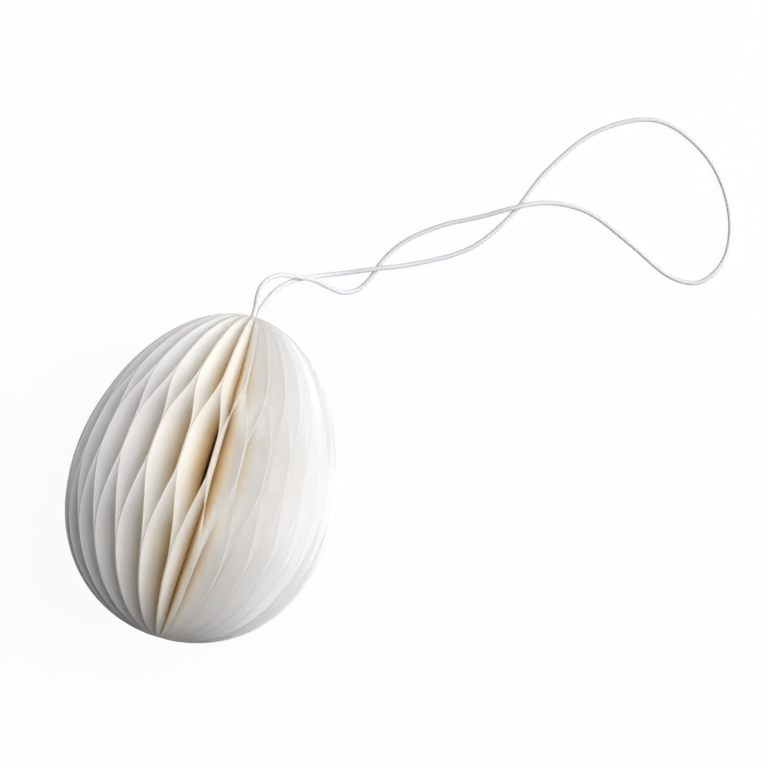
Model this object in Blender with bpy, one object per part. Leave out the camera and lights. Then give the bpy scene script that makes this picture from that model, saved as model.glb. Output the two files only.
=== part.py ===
"""A honeycomb paper egg lying on its side, with the cord that it hangs by. Metres, +Z up.

Half-egg paper leaves stand in a ring round a narrow core. Each one is glued to the leaf on one side near the
two poles and to the leaf on its other side round the middle, so the ring opens into lens-shaped cells.
The egg is modelled along its own +Y, with the pointed end there, and then laid down.
"""

import math

import bmesh
import bpy
import numpy as np
from mathutils import Matrix, Vector

# Egg
EGG_LENGTH = 0.0691
EGG_WIDTH = 0.0552
BELLY_DROP = 0.0041  # the widest ring lies this far from the middle, towards the blunt end
REST_LEAN = math.radians(5.0)  # the pointed end lies this much below the level

# Leaves
LEAVES = 58  # an even number, because they are glued in pairs
PAPER = 0.00015
GLUE_FILM = 0.00003
LEAF_TIP = 0.0004  # what is left of a leaf's depth at its two ends

# Glued joints, measured along the egg
END_JOINT = 0.0141  # from each pole
MIDDLE_JOINT = 0.0070
MIDDLE_JOINT_RISE = 0.0026  # from the egg's middle to the joint's, towards the pointed end
SNAP = 0.7  # how sharply leaves part below the middle joint, from 0 to 1

# The ring isn't opened evenly: these push its leaves together on one side and apart on another
FAN_START = math.radians(-12.0)
DRIFT, DRIFT_PHASE = math.radians(4.7), math.radians(8.5)
SQUEEZE, SQUEEZE_PHASE = math.radians(5.4), math.radians(48.5)

# Rows of faces in each stretch of a leaf, from the pointed end down
END_ROWS, UPPER_CELL_ROWS, MIDDLE_ROWS, LOWER_CELL_ROWS, FOOT_ROWS = 6, 4, 2, 5, 5

# Cord
CORD = 0.0010  # diameter
CLEARANCE = 0.0003
GLUE_DEPTH = 0.0060  # from the pointed end's pole down to the glue that holds the cord's ends
EXIT_TURN = math.radians(60.0)  # how far round the egg's axis its two strands are turned from side by side
GLUE_LENGTH = 0.0060
GLUE_BEVEL = 0.0003
GLUE_SIDES = 16
CURVE_STEPS = 12  # for each span of the route
CORD_POINTS = 80
CORD_ROUNDNESS = 2

# The cord's route in millimetres, from the pole round the loop and back. It drops from the egg to the surface
# that the egg lies on, and passes over itself three times
CORD_ROUTE = (
    (-0.4, 36.4, 23.8), (-0.7, 38.2, 22.2), (-0.7, 40.9, 19.2), (0.6, 43.4, 15.7), (2.9, 44.8, 12.3),
    (5.6, 45.2, 9.4), (8.7, 45.7, 6.6), (12.3, 45.2, 3.6), (15.8, 45.0, 1.7), (18.4, 46.3, 0.7),
    (20.3, 49.2, 0.5), (21.9, 53.8, 0.5), (25.0, 58.8, 0.5), (31.5, 64.4, 0.5), (39.5, 68.9, 1.0),
    (46.1, 72.9, 1.9), (52.3, 75.7, 1.0), (60.8, 76.2, 0.5), (71.4, 72.3, 0.5), (81.7, 68.0, 0.5),
    (87.7, 68.5, 0.5), (91.4, 74.2, 0.5), (90.2, 83.7, 0.5), (82.5, 94.2, 0.5), (69.9, 99.1, 0.5),
    (58.2, 93.5, 0.5), (50.0, 82.1, 0.5), (45.3, 70.7, 0.5), (39.1, 61.8, 0.5), (29.1, 55.4, 0.9),
    (21.1, 51.8, 1.9), (14.8, 49.0, 1.8), (10.4, 47.1, 2.9), (7.6, 45.8, 5.0), (5.2, 44.3, 8.4),
    (3.0, 42.1, 12.8), (1.7, 39.8, 17.4), (1.0, 37.8, 20.8), (0.6, 36.1, 23.2),
)
MILLIMETRE = 0.001
SHARP_EDGE = math.radians(40.0)

LEAF_PITCH = 2 * math.pi / LEAVES
PITCH_AT_CORE = PAPER + GLUE_FILM
CORE_RADIUS = PITCH_AT_CORE / LEAF_PITCH
POLE = EGG_LENGTH / 2


def clear_scene():
    for item in list(bpy.data.objects):
        bpy.data.objects.remove(item, do_unlink=True)


def make_material(name, colour, roughness):
    material = bpy.data.materials.new(name)
    material.use_nodes = True
    shader = material.node_tree.nodes["Principled BSDF"]
    shader.inputs["Base Color"].default_value = (*colour, 1.0)
    shader.inputs["Roughness"].default_value = roughness
    shader.inputs["Metallic"].default_value = 0.0
    return material


def add_object(name, data, material, parent=None):
    data.materials.append(material)
    item = bpy.data.objects.new(name, data)
    bpy.context.scene.collection.objects.link(item)
    item.parent = parent
    return item


def finished_mesh(shape, name):
    """The mesh of a shape, smooth but for its sharp edges. The shape is used up."""
    mesh = bpy.data.meshes.new(name)
    shape.to_mesh(mesh)
    shape.free()
    mesh.shade_smooth()
    mesh.set_sharp_from_angle(angle=SHARP_EDGE)
    return mesh


def egg_radius(y):
    """The egg's radius at a height y above its middle, on an egg curve that is fullest BELLY_DROP below it."""
    squared = EGG_LENGTH**2 + 8 * BELLY_DROP * y + 4 * BELLY_DROP**2
    return EGG_WIDTH / 2 * math.sqrt((EGG_LENGTH**2 - 4 * y**2) / squared)


def egg_height(radius, end):
    """Where the egg curve has this radius, at its pointed end (1) or its blunt end (-1)."""
    a = EGG_WIDTH**2
    b = 8 * BELLY_DROP * radius**2
    c = radius**2 * (EGG_LENGTH**2 + 4 * BELLY_DROP**2) - (EGG_WIDTH * EGG_LENGTH / 2) ** 2
    return (-b + end * math.sqrt(b**2 - 4 * a * c)) / (2 * a)


def joint_heights():
    """The heights where the joints begin and end, from the pointed end down, with the leaf's two tips."""
    tip_radius = CORE_RADIUS + LEAF_TIP
    middle = MIDDLE_JOINT_RISE
    return (
        egg_height(tip_radius, 1),
        POLE - END_JOINT,
        middle + MIDDLE_JOINT / 2,
        middle - MIDDLE_JOINT / 2,
        -POLE + END_JOINT,
        egg_height(tip_radius, -1),
    )


def row_heights():
    """Heights of a leaf's rows, closer together towards the poles, where its edge turns fastest."""
    marks = [math.acos(y / POLE) for y in joint_heights()]
    counts = (END_ROWS, UPPER_CELL_ROWS, MIDDLE_ROWS, LOWER_CELL_ROWS, FOOT_ROWS)
    turns = [marks[0]]
    for start, end, count in zip(marks, marks[1:], counts):
        turns += [start + (end - start) * step / count for step in range(1, count + 1)]
    return [POLE * math.cos(turn) for turn in turns]


def joined(y):
    """Which neighbour a leaf lies against: 1 for the one at the poles, -1 for the one round the middle."""
    _, end_top, middle_top, middle_foot, end_foot, _ = joint_heights()
    if y >= middle_top:
        share = min(max((end_top - y) / (end_top - middle_top), 0.0), 1.0)
        return math.cos(math.pi * share)
    share = min(max((middle_foot - y) / (middle_foot - end_foot), 0.0), 1.0)
    soft = (1 - math.cos(math.pi * share)) / 2
    sharp = math.sin(math.pi * share / 2)
    return 2 * ((1 - SNAP) * soft + SNAP * sharp) - 1


def spine_angle(place):
    return FAN_START + LEAF_PITCH * place


def rim_angle(place):
    turn = spine_angle(place)
    return turn - DRIFT * math.sin(turn - DRIFT_PHASE) + SQUEEZE * math.sin(2 * turn + SQUEEZE_PHASE)


def around(radius, angle, y):
    """A point at an angle from straight up, about the egg's axis."""
    return Vector((radius * math.sin(angle), y, radius * math.cos(angle)))


def leaf_row(number, y):
    """The four corners of a leaf's section at one height: two at the core, then two at the rim."""
    partner = 1 if number % 2 == 0 else -1
    side = partner * joined(y)
    rim = rim_angle(number + side / 2)
    sideways = around(1.0, rim + math.pi / 2, 0.0)
    inner = around(CORE_RADIUS, spine_angle(number), y)
    outer = around(egg_radius(y), rim, y) - sideways * side * PITCH_AT_CORE / 2
    half = (outer - inner).normalized().cross(Vector((0.0, 1.0, 0.0))) * PAPER / 2
    return inner - half, inner + half, outer + half, outer - half


def leaf_mesh(number):
    shape = bmesh.new()
    rows = [[shape.verts.new(corner) for corner in leaf_row(number, y)] for y in row_heights()]
    shape.faces.new(rows[0])
    shape.faces.new(rows[-1])
    for (a, b, c, d), (e, f, g, h) in zip(rows, rows[1:]):
        # Both faces of the paper are split the same way, so that its thickness stays even
        for corners in ((a, d, h), (a, h, e), (b, c, g), (b, g, f)):
            shape.faces.new(corners)
        shape.faces.new((a, b, f, e))
        shape.faces.new((c, d, h, g))
    bmesh.ops.recalc_face_normals(shape, faces=shape.faces)
    return finished_mesh(shape, f"leaf_{number + 1:02d}")


def lay_down(meshes):
    """Leans the egg as it rests, with the middle of its box over the origin and its lowest rim at the surface."""
    lean = Matrix.Rotation(-REST_LEAN, 4, "X")
    points = np.array([lean @ vertex.co for mesh in meshes for vertex in mesh.vertices])
    low, high = points.min(axis=0), points.max(axis=0)
    shift = Vector((-(low[0] + high[0]) / 2, -(low[1] + high[1]) / 2, -low[2]))
    return Matrix.Translation(shift) @ lean


def glue_mesh():
    """A plug of set glue in the core, just below the cord's ends."""
    shape = bmesh.new()
    along_egg = Matrix.Rotation(math.pi / 2, 4, "X")
    middle = Matrix.Translation((0.0, POLE - GLUE_DEPTH - GLUE_LENGTH / 2, 0.0))
    bmesh.ops.create_cone(
        shape,
        cap_ends=True,
        segments=GLUE_SIDES,
        radius1=CORE_RADIUS - CLEARANCE,
        radius2=CORE_RADIUS - CLEARANCE,
        depth=GLUE_LENGTH,
        matrix=middle @ along_egg,
    )
    rims = [edge for edge in shape.edges if any(len(face.verts) > 4 for face in edge.link_faces)]
    bmesh.ops.bevel(shape, geom=rims, offset=GLUE_BEVEL, segments=1, affect="EDGES")
    return finished_mesh(shape, "cord_glue")


def cord_route(egg_place):
    """The whole route: up out of the core, round the loop and down into the core beside where it began."""
    apart = (CORD + CLEARANCE) / 2
    beside, above = apart * math.cos(EXIT_TURN), apart * math.sin(EXIT_TURN)
    depths = (POLE - GLUE_DEPTH + CLEARANCE, POLE - GLUE_DEPTH / 2, POLE)
    up = [egg_place @ Vector((-beside, y, above)) for y in depths]
    down = [egg_place @ Vector((beside, y, -above)) for y in reversed(depths)]
    loop = [Vector(point) * MILLIMETRE for point in CORD_ROUTE]
    return up + loop + down


def smooth_curve(points, steps):
    """Points on a centripetal Catmull-Rom curve through the given ones, with some steps in each span."""
    points = [np.array(point) for point in points]
    ends = [2 * points[0] - points[1], 2 * points[-1] - points[-2]]
    points = [ends[0], *points, ends[1]]
    found = []
    for p0, p1, p2, p3 in zip(points, points[1:], points[2:], points[3:]):
        t0 = 0.0
        t1 = t0 + np.linalg.norm(p1 - p0) ** 0.5
        t2 = t1 + np.linalg.norm(p2 - p1) ** 0.5
        t3 = t2 + np.linalg.norm(p3 - p2) ** 0.5
        for t in np.linspace(t1, t2, steps, endpoint=False):
            a1 = ((t1 - t) * p0 + (t - t0) * p1) / (t1 - t0)
            a2 = ((t2 - t) * p1 + (t - t1) * p2) / (t2 - t1)
            a3 = ((t3 - t) * p2 + (t - t2) * p3) / (t3 - t2)
            b1 = ((t2 - t) * a1 + (t - t0) * a2) / (t2 - t0)
            b2 = ((t3 - t) * a2 + (t - t1) * a3) / (t3 - t1)
            found.append(((t2 - t) * b1 + (t - t1) * b2) / (t2 - t1))
    return np.array([*found, points[-2]])


def evenly_spaced(points, count):
    """The same curve read again at even distances along it."""
    walked = np.append(0.0, np.cumsum(np.linalg.norm(np.diff(points, axis=0), axis=1)))
    wanted = np.linspace(0.0, walked[-1], count)
    return np.column_stack([np.interp(wanted, walked, points[:, axis]) for axis in range(3)])


def cord_curve(route):
    curve = bpy.data.curves.new("hanging_cord", "CURVE")
    curve.dimensions = "3D"
    curve.bevel_depth = CORD / 2
    curve.bevel_resolution = CORD_ROUNDNESS
    curve.use_fill_caps = True
    spline = curve.splines.new("POLY")
    spline.points.add(len(route) - 1)
    for point, place in zip(spline.points, route):
        point.co = (*place, 1.0)
    spline.use_smooth = True
    return curve


def main():
    clear_scene()
    paper = make_material("ivory_paper", (0.86, 0.83, 0.76), 0.85)
    cotton = make_material("white_cord", (0.82, 0.81, 0.82), 0.55)
    glue = make_material("clear_glue", (0.80, 0.76, 0.62), 0.30)

    leaves = [leaf_mesh(number) for number in range(LEAVES)]
    egg_place = lay_down(leaves)
    egg = bpy.data.objects.new("egg_place", None)
    bpy.context.scene.collection.objects.link(egg)
    egg.matrix_world = egg_place
    for mesh in leaves:
        add_object(mesh.name, mesh, paper, egg)
    add_object("cord_glue", glue_mesh(), glue, egg)

    route = evenly_spaced(smooth_curve(cord_route(egg_place), CURVE_STEPS), CORD_POINTS)
    route[:, 2] = np.maximum(route[:, 2], CORD / 2)  # it lies on the surface, not in it
    add_object("hanging_cord", cord_curve(route), cotton)


main()
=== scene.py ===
"""The looks of a honeycomb paper egg on its side: fine waved leaves, a plied cord, paper, light and camera.

Metres, +Z up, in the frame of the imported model. The egg is made along its own +Y and then laid down.
"""

import math
import random

import bmesh
import bpy
import numpy as np
from mathutils import Matrix, Vector, noise


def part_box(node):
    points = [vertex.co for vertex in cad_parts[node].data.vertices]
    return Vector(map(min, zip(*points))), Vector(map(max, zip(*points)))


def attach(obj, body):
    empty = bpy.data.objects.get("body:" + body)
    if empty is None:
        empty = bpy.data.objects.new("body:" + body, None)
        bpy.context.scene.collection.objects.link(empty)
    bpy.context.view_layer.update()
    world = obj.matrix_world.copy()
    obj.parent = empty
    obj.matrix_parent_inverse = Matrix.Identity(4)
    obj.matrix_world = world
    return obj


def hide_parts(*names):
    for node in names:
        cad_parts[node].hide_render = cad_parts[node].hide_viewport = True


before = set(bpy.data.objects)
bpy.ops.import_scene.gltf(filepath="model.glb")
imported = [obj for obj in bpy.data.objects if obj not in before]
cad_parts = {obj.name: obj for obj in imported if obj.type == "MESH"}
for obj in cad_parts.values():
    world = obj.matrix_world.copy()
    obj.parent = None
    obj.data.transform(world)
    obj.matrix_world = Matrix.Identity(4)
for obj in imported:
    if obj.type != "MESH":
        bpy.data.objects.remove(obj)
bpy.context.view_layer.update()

# Egg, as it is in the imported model
EGG_LENGTH = 0.0691
EGG_WIDTH = 0.0552
BELLY_DROP = 0.0041
REST_LEAN = math.radians(5.0)
RIM_STEPS = 720  # steps along the rim for the reach of the leaning egg
LEAVES = 58
PAPER = 0.00015
GLUE_FILM = 0.00003
LEAF_TIP = 0.0004  # what is left of a leaf's depth at its two ends
END_JOINT = 0.0141
MIDDLE_JOINT = 0.0070
MIDDLE_JOINT_RISE = 0.0026
SNAP = 0.7  # how sharply leaves part below the middle joint, from 0 to 1
FAN_START = math.radians(-12.0)
DRIFT, DRIFT_PHASE = math.radians(4.7), math.radians(8.5)
SQUEEZE, SQUEEZE_PHASE = math.radians(5.4), math.radians(48.5)

# Fineness of the leaves
LEAF_ROWS = 96
LEAF_COLUMNS = 8

# Handwork: what differs from leaf to leaf
SEED = 7
JOINT_SHIFT = 0.0006  # how far a joint's end lies from where it should
RIM_SHIFT = 0.00008  # how far a leaf's rim stands proud or back
WAVER = math.radians(0.55)  # broad sideways wander of the rims
RIPPLE = math.radians(0.16)  # short sideways ripples of the rims
CURL = math.radians(0.7)  # uneven bow of the leaves between core and rim

# Noise behind the handwork: how often it changes round the egg and in a metre along it, and where it starts
BROAD_NOISE = (2.2, 45.0), (0.0, 0.0, 0.0)
SHORT_NOISE = (7.0, 190.0), (9.0, 0.0, 0.0)
CURL_NOISE = (3.0, 60.0), (0.0, 5.0, 3.0)

# Leaves on both sides bow over towards the open seam on top. In degrees round from the top: where, how far
BOWS = (-180.0, 0.0), (-100.0, 3.0), (-40.0, 3.6), (-10.0, 6.0), (20.0, -5.0), (95.0, -4.5), (180.0, 0.0)
BOW_PEAK = 6.75  # brings the most of share**2 * (1 - share) to one, at two thirds of the way out to the rim
CURL_PEAK = 4  # brings the most of share * (1 - share) to one, half way out

# Paper, mapped in metres: across from the rim, and along with each leaf further on than the last
PAPER_MAP = "paper_map"
SHEET_STEP = 0.1
SHEER = 0.60  # share of the light that goes on through a sheet
PALE_IVORY = (0.962, 0.958, 0.953), (0.988, 0.986, 0.983)  # least and most at the rim
DEEP_PAINTED_SHADE = (0.970, 0.850, 0.640), (0.990, 0.895, 0.720)  # painted shade, least and most further in: darker, warmer paper where the deep cells get little light
DEEP_FROM_RIM = (0.003, 0.014)  # where the painted shade begins and is whole
CORE_PAINTED_SHADE = (0.985, 0.85, 0.62), (0.995, 0.89, 0.70)  # painted shade, least and most next to the core, where the least light reaches
# where the painted shade next to the core begins and is whole
CORE_SHADE_FROM_RIM = (0.013, 0.024)
SEAM_SHADE = 0.22  # how deep the painted shade is at the rims beside the seam, from 0 to 1
SEAM_CREEP = 2.4  # how many times nearer to the rim the painted shade begins beside the seam
SEAM_LEAVES = 4.0, 5.0  # how many leaves before and after the seam the painted shade beside it takes to fade
CUT_EDGE = (0.83, 0.82, 0.81), (0.91, 0.905, 0.895)
PAPER_ROUGH = (0.80, 0.92)
PAPER_GLOSS = 0.2
PAPER_GRAIN = (0.25, 0.00004)  # strength, and depth in metres, as in each grain below
EDGE_ROUGH = (0.85, 0.98)
EDGE_GRAIN = (0.4, 0.00003)
MOTTLE, FIBRE, CUT_FIBRE = 420.0, 3400.0, 5200.0  # changes a metre
FIBRE_SHARE = 0.4
FIBRE_STRETCH = (1.0, 0.2, 1.0)
NOISE_MIDDLE = (0.3, 0.7)  # most of a noise lies between these

# Cord
CORD = 0.0010
CLEARANCE = 0.0003
GLUE_DEPTH = 0.0060
EXIT_TURN = math.radians(60.0)
CURVE_STEPS = 12
CORD_POINTS = 80
CORD_RINGS = 720
CORD_SIDES = 24
CORD_PLIES = 3
PLY_TURN = 0.0034  # the cord's length in one turn of its plies
PLY_GROOVE = 0.03  # share of the radius
CORD_WHITE = (0.61, 0.60, 0.625), (0.68, 0.67, 0.695)
CORD_ROUGH = (0.38, 0.55)
CORD_SHEEN = 0.3
CORD_GRAIN = (0.2, 0.00002)
THREAD = 6500.0  # changes a metre
MILLIMETRE = 0.001
CORD_ROUTE = (
    (-0.4, 36.4, 23.8), (-0.7, 38.2, 22.2), (-0.7, 40.9, 19.2), (0.6, 43.4, 15.7), (2.9, 44.8, 12.3),
    (5.6, 45.2, 9.4), (8.7, 45.7, 6.6), (12.3, 45.2, 3.6), (15.8, 45.0, 1.7), (18.4, 46.3, 0.7),
    (20.3, 49.2, 0.5), (21.9, 53.8, 0.5), (25.0, 58.8, 0.5), (31.5, 64.4, 0.5), (39.5, 68.9, 1.0),
    (46.1, 72.9, 1.9), (52.3, 75.7, 1.0), (60.8, 76.2, 0.5), (71.4, 72.3, 0.5), (81.7, 68.0, 0.5),
    (87.7, 68.5, 0.5), (91.4, 74.2, 0.5), (90.2, 83.7, 0.5), (82.5, 94.2, 0.5), (69.9, 99.1, 0.5),
    (58.2, 93.5, 0.5), (50.0, 82.1, 0.5), (45.3, 70.7, 0.5), (39.1, 61.8, 0.5), (29.1, 55.4, 0.9),
    (21.1, 51.8, 1.9), (14.8, 49.0, 1.8), (10.4, 47.1, 2.9), (7.6, 45.8, 5.0), (5.2, 44.3, 8.4),
    (3.0, 42.1, 12.8), (1.7, 39.8, 17.4), (1.0, 37.8, 20.8), (0.6, 36.1, 23.2),
)
SHARP_EDGE = math.radians(40.0)

# Glue
GLUE_AMBER = (0.76, 0.71, 0.56), (0.84, 0.80, 0.68)
GLUE_ROUGH = 0.3
GLUE_GRAIN = (0.2, 0.0001)
GLUE_CLOUD = 900.0  # changes a metre

# View: straight down, turned so that the egg leans to the right in the picture
VIEW_TURN = math.radians(16.5)
VIEW_CENTRE = (0.02964, 0.02881)
VIEW_HEIGHT = 0.900
VIEW_WIDTH = 0.1586  # across the picture, at the height of the egg's middle
EGG_MIDDLE = 0.0271  # above the floor
SENSOR = 36.0

# Floor and light
FLOOR_TONE = 0.70
FLOOR_WHITE = 0.95  # share of plain white in how the floor is seen
FLOOR_SIZE = 2.0
FLOOR_DROP = 0.0001  # just under the egg
LAMP_DISTANCE = 1.1
KEY_PLACE = (0.87, 0.0, 0.5)  # right, up and above in the picture
KEY_SIZE = 0.6
KEY_POWER = 7.0
KEY_COLOUR = (0.97, 0.985, 1.0)
TOP_PLACE = (0.42, 0.30, 0.855)
TOP_SIZE = 1.0
TOP_POWER = 13.6
TOP_COLOUR = (1.0, 1.0, 1.0)
SKY = (0.03, 0.03, 0.03)

LEAF_PITCH = 2 * math.pi / LEAVES
PITCH_AT_CORE = PAPER + GLUE_FILM
CORE_RADIUS = PITCH_AT_CORE / LEAF_PITCH
POLE = EGG_LENGTH / 2


# Helpers


def add_object(name, data, *materials):
    for material in materials:
        data.materials.append(material)
    item = bpy.data.objects.new(name, data)
    bpy.context.scene.collection.objects.link(item)
    return item


def finished_mesh(shape, name):
    bmesh.ops.recalc_face_normals(shape, faces=shape.faces)
    mesh = bpy.data.meshes.new(name)
    shape.to_mesh(mesh)
    shape.free()
    mesh.shade_smooth()
    mesh.set_sharp_from_angle(angle=SHARP_EDGE)
    return mesh


class NodeBuilder:
    """Adds nodes to a new material and links them."""

    def __init__(self, name):
        self.material = bpy.data.materials.new(name)
        self.material.use_nodes = True
        self.tree = self.material.node_tree
        self.tree.nodes.clear()

    def add(self, kind, inputs=None, **settings):
        node = self.tree.nodes.new(kind)
        for key, value in settings.items():
            setattr(node, key, value)
        for key, value in (inputs or {}).items():
            if isinstance(value, bpy.types.NodeSocket):
                self.tree.links.new(value, node.inputs[key])
            else:
                node.inputs[key].default_value = value
        return node

    def varied(self, factor, colours):
        """From the first colour to the second over the middle of a noise."""
        node = self.add("ShaderNodeValToRGB", {"Fac": factor})
        for stop, place, colour in zip(node.color_ramp.elements, NOISE_MIDDLE, colours):
            stop.position = place
            stop.color = (*colour, 1.0)
        return node.outputs["Color"]

    def noise(self, place, scale, detail, roughness):
        inputs = {"Vector": place, "Scale": scale, "Detail": detail, "Roughness": roughness}
        return self.add("ShaderNodeTexNoise", inputs).outputs["Fac"]

    def stretched(self, place, scale):
        return self.add("ShaderNodeMapping", {"Vector": place, "Scale": scale}).outputs["Vector"]

    def larger(self, first, second):
        return self.add("ShaderNodeMath", {0: first, 1: second}, operation="MAXIMUM").outputs[0]

    def times(self, first, second):
        return self.add("ShaderNodeMath", {0: first, 1: second}, operation="MULTIPLY").outputs[0]

    def ranged(self, value, given, wanted):
        ends = {"From Min": given[0], "From Max": given[1], "To Min": wanted[0], "To Max": wanted[1]}
        return self.add("ShaderNodeMapRange", {"Value": value, **ends}).outputs["Result"]

    def mixed(self, factor, first, second):
        return self.add("ShaderNodeMix", {0: factor, 2: first, 3: second}).outputs[0]

    def mixed_colour(self, factor, first, second):
        return self.add("ShaderNodeMix", {0: factor, 6: first, 7: second}, data_type="RGBA").outputs[2]

    def bump(self, height, strength, distance):
        inputs = {"Strength": strength, "Distance": distance, "Height": height}
        return self.add("ShaderNodeBump", inputs).outputs["Normal"]

    def done(self, surface):
        self.add("ShaderNodeOutputMaterial", {"Surface": surface})
        return self.material


# Camera


def make_camera():
    data = bpy.data.cameras.new("top_camera")
    data.sensor_width = SENSOR
    data.lens = SENSOR * (VIEW_HEIGHT - EGG_MIDDLE) / VIEW_WIDTH
    camera = bpy.data.objects.new("top_camera", data)
    camera.location = (*VIEW_CENTRE, VIEW_HEIGHT)
    camera.rotation_euler = (0.0, 0.0, VIEW_TURN)
    bpy.context.scene.collection.objects.link(camera)
    bpy.context.scene.camera = camera


# Where the egg lies


def egg_radius(y):
    squared = EGG_LENGTH**2 + 8 * BELLY_DROP * y + 4 * BELLY_DROP**2
    return EGG_WIDTH / 2 * math.sqrt((EGG_LENGTH**2 - 4 * y**2) / squared)


def egg_height(radius, end):
    a = EGG_WIDTH**2
    b = 8 * BELLY_DROP * radius**2
    c = radius**2 * (EGG_LENGTH**2 + 4 * BELLY_DROP**2) - (EGG_WIDTH * EGG_LENGTH / 2) ** 2
    return (-b + end * math.sqrt(b**2 - 4 * a * c)) / (2 * a)


def egg_place():
    """The egg's place: leaning as it rests, with the middle of its leaves' box over the origin."""
    boxes = [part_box(f"leaf_{number + 1:02d}") for number in range(LEAVES)]
    low = np.min([box[0] for box in boxes], axis=0)
    high = np.max([box[1] for box in boxes], axis=0)
    lean = Matrix.Rotation(-REST_LEAN, 4, "X")
    reach = reach_of_leaning_egg(lean)
    shift = Vector(((low[0] + high[0]) / 2, (low[1] + high[1]) / 2 - reach[0], high[2] - reach[1]))
    return Matrix.Translation(shift) @ lean


def reach_of_leaning_egg(lean):
    """Where the middle of the leaning egg's length lies along the floor, and how high its top stands."""
    turns = np.linspace(0.0, math.pi, RIM_STEPS + 1)
    rim = [lean @ Vector((0.0, POLE * math.cos(t), egg_radius(POLE * math.cos(t)))) for t in turns]
    foot = [lean @ Vector((0.0, POLE * math.cos(t), -egg_radius(POLE * math.cos(t)))) for t in turns]
    along = [point.y for point in rim + foot]
    return (min(along) + max(along)) / 2, max(point.z for point in rim)


# Leaves


def joint_heights():
    tip_radius = CORE_RADIUS + LEAF_TIP
    middle = MIDDLE_JOINT_RISE
    return (
        egg_height(tip_radius, 1),
        POLE - END_JOINT,
        middle + MIDDLE_JOINT / 2,
        middle - MIDDLE_JOINT / 2,
        -POLE + END_JOINT,
        egg_height(tip_radius, -1),
    )


def joint_shifts():
    """For each pair of leaves, how far its joint's upper and lower ends lie from where they should."""
    chance = random.Random(SEED)
    return [(chance.uniform(-1, 1) * JOINT_SHIFT, chance.uniform(-1, 1) * JOINT_SHIFT) for _ in range(LEAVES)]


def joined(y, end_shift, middle_shift):
    """Which neighbour a leaf lies against: 1 for the one at the poles, -1 for the one round the middle."""
    _, end_top, middle_top, middle_foot, end_foot, _ = joint_heights()
    end_top += end_shift[0]
    end_foot += end_shift[1]
    middle_top += middle_shift[0]
    middle_foot += middle_shift[1]
    if y >= middle_top:
        share = min(max((end_top - y) / (end_top - middle_top), 0.0), 1.0)
        return math.cos(math.pi * share)
    share = min(max((middle_foot - y) / (middle_foot - end_foot), 0.0), 1.0)
    soft = (1 - math.cos(math.pi * share)) / 2
    sharp = math.sin(math.pi * share / 2)
    return 2 * ((1 - SNAP) * soft + SNAP * sharp) - 1


def spine_angle(place):
    return FAN_START + LEAF_PITCH * place


def rim_angle(place):
    turn = spine_angle(place)
    return turn - DRIFT * math.sin(turn - DRIFT_PHASE) + SQUEEZE * math.sin(2 * turn + SQUEEZE_PHASE)


def around(radius, angle, y):
    return Vector((radius * math.sin(angle), y, radius * math.cos(angle)))


def egg_noise(rim, y, often, start):
    spot = around(1.0, rim, 0.0)
    across, along = often
    return noise.noise(Vector((spot.x * across + start[0], y * along + start[1], spot.z * across + start[2])))


def wander(rim, y):
    """How far the paper strays sideways at the rim and how far it curls inside it, as angles."""
    stray = WAVER * egg_noise(rim, y, *BROAD_NOISE) + RIPPLE * egg_noise(rim, y, *SHORT_NOISE)
    return stray, CURL * egg_noise(rim, y, *CURL_NOISE)


def steady_bow(rim):
    """The bow of the leaves at one place round the egg, as an angle, eased from each of BOWS to the next."""
    turn = (math.degrees(rim) + 180.0) % 360.0 - 180.0
    for (start, first), (end, last) in zip(BOWS, BOWS[1:]):
        if turn <= end:
            share = (turn - start) / (end - start)
            return math.radians(first + (last - first) * share**2 * (3 - 2 * share))
    return 0.0


def leaf_section(number, y, shifts, rim_shift):
    """The leaf's middle line at one height, from the core to the rim, and half its thickness."""
    partner = 1 if number % 2 == 0 else -1
    at_ends = shifts[number if partner == 1 else number - 1]
    at_middle = shifts[(number - 1) if partner == 1 else number]
    side = partner * joined(y, at_ends, at_middle)
    rim = rim_angle(number + side / 2)
    sideways = around(1.0, rim + math.pi / 2, 0.0)
    radius = egg_radius(y)
    inner = around(CORE_RADIUS, spine_angle(number), y)
    outer = around(radius + rim_shift, rim, y) - sideways * side * PITCH_AT_CORE / 2
    stray, curl = wander(rim, y)
    bow = steady_bow(rim)
    half = (outer - inner).normalized().cross(Vector((0.0, 1.0, 0.0))) * PAPER / 2
    line = []
    for column in range(LEAF_COLUMNS + 1):
        share = column / LEAF_COLUMNS
        bent = curl * CURL_PEAK * share * (1 - share) + bow * BOW_PEAK * share**2 * (1 - share)
        offset = radius * (stray * share**2 + bent)
        line.append(inner.lerp(outer, share) + sideways * offset)
    return line, half, (outer - inner).length


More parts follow.
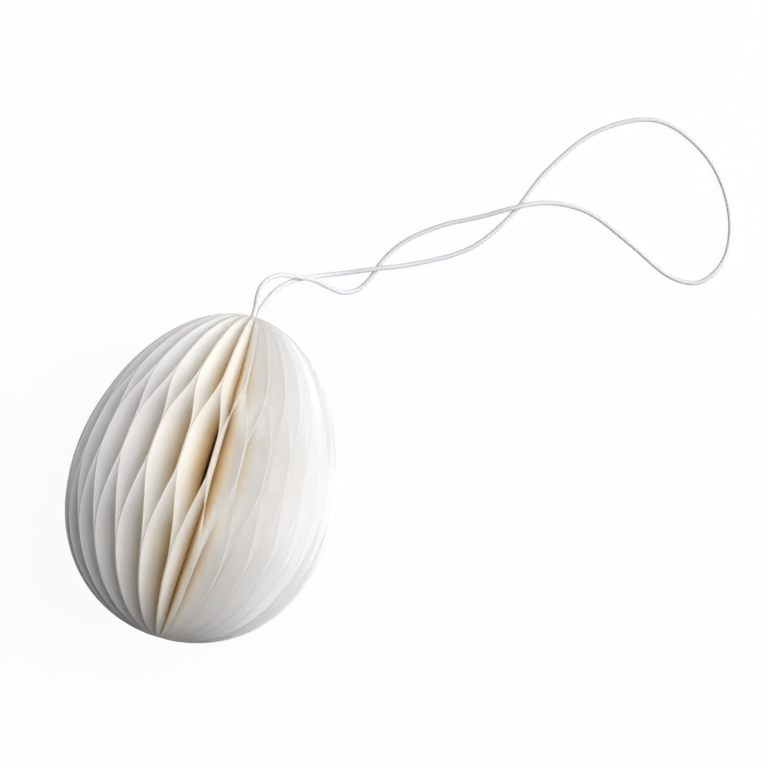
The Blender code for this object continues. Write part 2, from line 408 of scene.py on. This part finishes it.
def leaf_mesh(number, shifts, rim_shift):
    """A closed sheet of paper. Its cut edge has the second material. The map is in metres."""
    heights = joint_heights()
    turns = np.linspace(math.acos(heights[0] / POLE), math.acos(heights[-1] / POLE), LEAF_ROWS + 1)
    shape = bmesh.new()
    front, back = [], []
    on_paper = {}
    for turn in turns:
        y = POLE * math.cos(turn)
        line, half, width = leaf_section(number, y, shifts, rim_shift)
        front.append([shape.verts.new(point - half) for point in line])
        back.append([shape.verts.new(point + half) for point in line])
        for column in range(LEAF_COLUMNS + 1):
            spot = (width * (1 - column / LEAF_COLUMNS), y + number * SHEET_STEP)
            on_paper[front[-1][column]] = spot
            on_paper[back[-1][column]] = spot
    for row in range(LEAF_ROWS):
        for side in (front, back):
            upper, lower = side[row], side[row + 1]
            for column in range(LEAF_COLUMNS):
                shape.faces.new((upper[column], upper[column + 1], lower[column + 1], lower[column]))
        for column in (0, LEAF_COLUMNS):
            corners = (front[row][column], back[row][column], back[row + 1][column], front[row + 1][column])
            shape.faces.new(corners).material_index = 1
    for row in (0, LEAF_ROWS):
        for column in range(LEAF_COLUMNS):
            corners = (front[row][column], front[row][column + 1], back[row][column + 1], back[row][column])
            shape.faces.new(corners).material_index = 1
    layer = shape.loops.layers.uv.new(PAPER_MAP)
    for face in shape.faces:
        for loop in face.loops:
            loop[layer].uv = on_paper[loop.vert]
    return finished_mesh(shape, f"paper_{number + 1:02d}")


def sheet_shader(make, colour, rough, grain):
    """Light is spread at the face where it enters a sheet and goes straight out through the other one."""
    body = make.add("ShaderNodeBsdfPrincipled", {"Base Color": colour, "Roughness": rough, "Normal": grain})
    body.inputs["Specular IOR Level"].default_value = PAPER_GLOSS
    through = make.add("ShaderNodeBsdfTranslucent", {"Color": colour, "Normal": grain})
    sheer = make.add("ShaderNodeMixShader", {0: SHEER, 1: body.outputs[0], 2: through.outputs[0]})
    inner = make.add("ShaderNodeNewGeometry").outputs["Backfacing"]
    clear = make.add("ShaderNodeBsdfTransparent")
    once = make.add("ShaderNodeMixShader", {0: inner, 1: sheer.outputs[0], 2: clear.outputs[0]})
    return make.done(once.outputs[0])


def paper_material():
    """Uncoated ivory paper, with painted shade: deeper and warmer in tone towards the core and beside the
    seam, where the cells are deep and get little light.
    """
    make = NodeBuilder("ivory_paper")
    sheet = make.add("ShaderNodeUVMap", uv_map=PAPER_MAP).outputs["UV"]
    mottle = make.noise(sheet, MOTTLE, 3.0, 0.6)
    fibre = make.noise(make.stretched(sheet, FIBRE_STRETCH), FIBRE, 2.0, 0.7)
    tone = make.mixed(FIBRE_SHARE, mottle, fibre)
    from_rim, leaf, _ = make.add("ShaderNodeSeparateXYZ", {0: sheet}).outputs
    # Painted shade beside the seam: the leaves next to it are drawn darker and warmer from nearer their rims
    before = ((LEAVES - SEAM_LEAVES[0]) * SHEET_STEP, LEAVES * SHEET_STEP)
    before_seam = make.ranged(leaf, before, (0.0, 1.0))
    after_seam = make.ranged(leaf, (SHEET_STEP, SEAM_LEAVES[1] * SHEET_STEP), (1.0, 0.0))
    beside_seam = make.larger(before_seam, after_seam)
    depth = make.times(from_rim, make.ranged(beside_seam, (0.0, 1.0), (1.0, SEAM_CREEP)))
    # Painted shade: the paper is drawn darker and warmer further from the rim, where the deep cells get
    # little light
    inside = make.ranged(depth, DEEP_FROM_RIM, (0.0, 1.0))
    far_inside = make.ranged(depth, CORE_SHADE_FROM_RIM, (0.0, 1.0))
    painted_shade = make.larger(inside, make.times(beside_seam, SEAM_SHADE))
    pale = make.varied(tone, PALE_IVORY)
    deep = make.varied(tone, DEEP_PAINTED_SHADE)
    core_shade = make.varied(tone, CORE_PAINTED_SHADE)
    colour = make.mixed_colour(far_inside, make.mixed_colour(painted_shade, pale, deep), core_shade)
    grain = make.bump(tone, *PAPER_GRAIN)
    rough = make.ranged(mottle, NOISE_MIDDLE, PAPER_ROUGH)
    return sheet_shader(make, colour, rough, grain)


def cut_edge_material():
    make = NodeBuilder("cut_paper_edge")
    sheet = make.add("ShaderNodeUVMap", uv_map=PAPER_MAP).outputs["UV"]
    ragged = make.noise(sheet, CUT_FIBRE, 2.0, 0.7)
    colour = make.varied(ragged, CUT_EDGE)
    grain = make.bump(ragged, *EDGE_GRAIN)
    rough = make.ranged(ragged, NOISE_MIDDLE, EDGE_ROUGH)
    return sheet_shader(make, colour, rough, grain)


def make_leaves():
    paper, edge = paper_material(), cut_edge_material()
    place = egg_place()
    shifts = joint_shifts()
    chance = random.Random(SEED + 1)
    for number in range(LEAVES):
        rim_shift = chance.uniform(-1, 1) * RIM_SHIFT
        mesh = leaf_mesh(number, shifts, rim_shift)
        mesh.transform(place)
        leaf = add_object(mesh.name, mesh, paper, edge)
        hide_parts(f"leaf_{number + 1:02d}")
        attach(leaf, "root")


# Cord


def cord_route(place):
    """The whole route: up out of the core, round the loop and down into the core beside where it began."""
    apart = (CORD + CLEARANCE) / 2
    beside, above = apart * math.cos(EXIT_TURN), apart * math.sin(EXIT_TURN)
    depths = (POLE - GLUE_DEPTH + CLEARANCE, POLE - GLUE_DEPTH / 2, POLE)
    up = [place @ Vector((-beside, y, above)) for y in depths]
    down = [place @ Vector((beside, y, -above)) for y in reversed(depths)]
    loop = [Vector(point) * MILLIMETRE for point in CORD_ROUTE]
    return up + loop + down


def smooth_curve(points, steps):
    """Points on a centripetal Catmull-Rom curve through the given ones, with some steps in each span."""
    points = [np.array(point) for point in points]
    ends = [2 * points[0] - points[1], 2 * points[-1] - points[-2]]
    points = [ends[0], *points, ends[1]]
    found = []
    for p0, p1, p2, p3 in zip(points, points[1:], points[2:], points[3:]):
        t0 = 0.0
        t1 = t0 + np.linalg.norm(p1 - p0) ** 0.5
        t2 = t1 + np.linalg.norm(p2 - p1) ** 0.5
        t3 = t2 + np.linalg.norm(p3 - p2) ** 0.5
        for t in np.linspace(t1, t2, steps, endpoint=False):
            a1 = ((t1 - t) * p0 + (t - t0) * p1) / (t1 - t0)
            a2 = ((t2 - t) * p1 + (t - t1) * p2) / (t2 - t1)
            a3 = ((t3 - t) * p2 + (t - t2) * p3) / (t3 - t2)
            b1 = ((t2 - t) * a1 + (t - t0) * a2) / (t2 - t0)
            b2 = ((t3 - t) * a2 + (t - t1) * a3) / (t3 - t1)
            found.append(((t2 - t) * b1 + (t - t1) * b2) / (t2 - t1))
    return np.array([*found, points[-2]])


def evenly_spaced(points, count):
    """The same curve read again at even distances along it."""
    walked = np.append(0.0, np.cumsum(np.linalg.norm(np.diff(points, axis=0), axis=1)))
    wanted = np.linspace(0.0, walked[-1], count)
    return np.column_stack([np.interp(wanted, walked, points[:, axis]) for axis in range(3)])


def cord_mesh(path):
    """A tube along the path whose section is the outline of twisted plies, turned as it goes."""
    shape = bmesh.new()
    ahead = np.gradient(path, axis=0)
    ahead /= np.linalg.norm(ahead, axis=1)[:, None]
    outward = Vector(ahead[0]).orthogonal().normalized()
    walked = 0.0
    rings = []
    for index, (point, direction) in enumerate(zip(path, ahead)):
        direction = Vector(direction)
        outward = (outward - direction * outward.dot(direction)).normalized()
        beside = direction.cross(outward)
        if index:
            walked += np.linalg.norm(path[index] - path[index - 1])
        ring = []
        for side in range(CORD_SIDES):
            angle = 2 * math.pi * side / CORD_SIDES
            phase = CORD_PLIES * (angle - 2 * math.pi * walked / PLY_TURN)
            radius = CORD / 2 * (1 - PLY_GROOVE * (1 - math.cos(phase)) / 2)
            offset = outward * math.cos(angle) + beside * math.sin(angle)
            ring.append(shape.verts.new(Vector(point) + offset * radius))
        rings.append(ring)
    for ring, following in zip(rings, rings[1:]):
        for side in range(CORD_SIDES):
            after = (side + 1) % CORD_SIDES
            shape.faces.new((ring[side], ring[after], following[after], following[side]))
    shape.faces.new(rings[0])
    shape.faces.new(rings[-1])
    return finished_mesh(shape, "white_cord")


def cord_material():
    make = NodeBuilder("white_satin_cord")
    place = make.add("ShaderNodeTexCoord").outputs["Object"]
    thread = make.noise(place, THREAD, 2.0, 0.6)
    colour = make.varied(thread, CORD_WHITE)
    grain = make.bump(thread, *CORD_GRAIN)
    rough = make.ranged(thread, NOISE_MIDDLE, CORD_ROUGH)
    body = make.add("ShaderNodeBsdfPrincipled", {"Base Color": colour, "Roughness": rough, "Normal": grain})
    body.inputs["Sheen Weight"].default_value = CORD_SHEEN
    return make.done(body.outputs[0])


def make_cord():
    place = egg_place()
    route = cord_route(place)
    path = evenly_spaced(smooth_curve(route, CURVE_STEPS), CORD_POINTS)
    path[:, 2] = np.maximum(path[:, 2], CORD / 2)
    fine = evenly_spaced(smooth_curve(path, CURVE_STEPS), CORD_RINGS)
    fine[:, 2] = np.maximum(fine[:, 2], CORD / 2)
    cord = add_object("white_cord", cord_mesh(fine), cord_material())
    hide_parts("hanging_cord")
    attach(cord, "root")


# Glue in the core


def dress_glue():
    make = NodeBuilder("clear_glue")
    place = make.add("ShaderNodeTexCoord").outputs["Object"]
    cloud = make.noise(place, GLUE_CLOUD, 2.0, 0.5)
    colour = make.varied(cloud, GLUE_AMBER)
    wave = make.bump(cloud, *GLUE_GRAIN)
    body = make.add("ShaderNodeBsdfPrincipled", {"Base Color": colour, "Normal": wave})
    body.inputs["Roughness"].default_value = GLUE_ROUGH
    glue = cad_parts["cord_glue"]
    for slot in glue.material_slots:
        slot.material = make.material
    make.done(body.outputs[0])


# Floor and light


def floor_material():
    """Pale, and white where it is seen directly or in a gloss, with the egg's shadow kept."""
    make = NodeBuilder("pale_floor")
    light = make.add("ShaderNodeLightPath").outputs
    seen = make.larger(light["Is Camera Ray"], light["Is Glossy Ray"])
    seen = make.larger(seen, light["Is Transmission Ray"])
    plain = make.add("ShaderNodeBsdfDiffuse", {"Color": (FLOOR_TONE, FLOOR_TONE, FLOOR_TONE, 1.0)})
    white = make.add("ShaderNodeEmission", {"Strength": 1.0})
    share = make.times(seen, FLOOR_WHITE)
    both = make.add("ShaderNodeMixShader", {0: share, 1: plain.outputs[0], 2: white.outputs[0]})
    return make.done(both.outputs[0])


def make_floor():
    shape = bmesh.new()
    bmesh.ops.create_grid(shape, x_segments=1, y_segments=1, size=FLOOR_SIZE)
    mesh = bpy.data.meshes.new("floor")
    shape.to_mesh(mesh)
    shape.free()
    floor = add_object("floor", mesh, floor_material())
    floor.location = (0.0, 0.0, -FLOOR_DROP)


def area_lamp(name, place, size, power, colour):
    """A square lamp turned to the egg. Its place is a direction: right and up in the picture, and above."""
    direction = (Matrix.Rotation(VIEW_TURN, 3, "Z") @ Vector(place)).normalized()
    data = bpy.data.lights.new(name, "AREA")
    data.shape = "SQUARE"
    data.size = size
    data.energy = power
    data.color = colour
    lamp = bpy.data.objects.new(name, data)
    lamp.location = Vector((0.0, 0.0, EGG_MIDDLE)) + direction * LAMP_DISTANCE
    lamp.rotation_mode = "QUATERNION"
    lamp.rotation_quaternion = (-direction).to_track_quat("-Z", "Y")
    bpy.context.scene.collection.objects.link(lamp)


def make_light():
    area_lamp("key_lamp", KEY_PLACE, KEY_SIZE, KEY_POWER, KEY_COLOUR)
    area_lamp("top_lamp", TOP_PLACE, TOP_SIZE, TOP_POWER, TOP_COLOUR)
    world = bpy.data.worlds.new("soft_world")
    world.use_nodes = True
    sky = world.node_tree.nodes["Background"]
    sky.inputs["Color"].default_value = (*SKY, 1.0)
    bpy.context.scene.world = world
    bpy.context.scene.view_settings.view_transform = "Standard"


make_camera()
make_cord()
make_leaves()
dress_glue()
make_floor()
make_light()
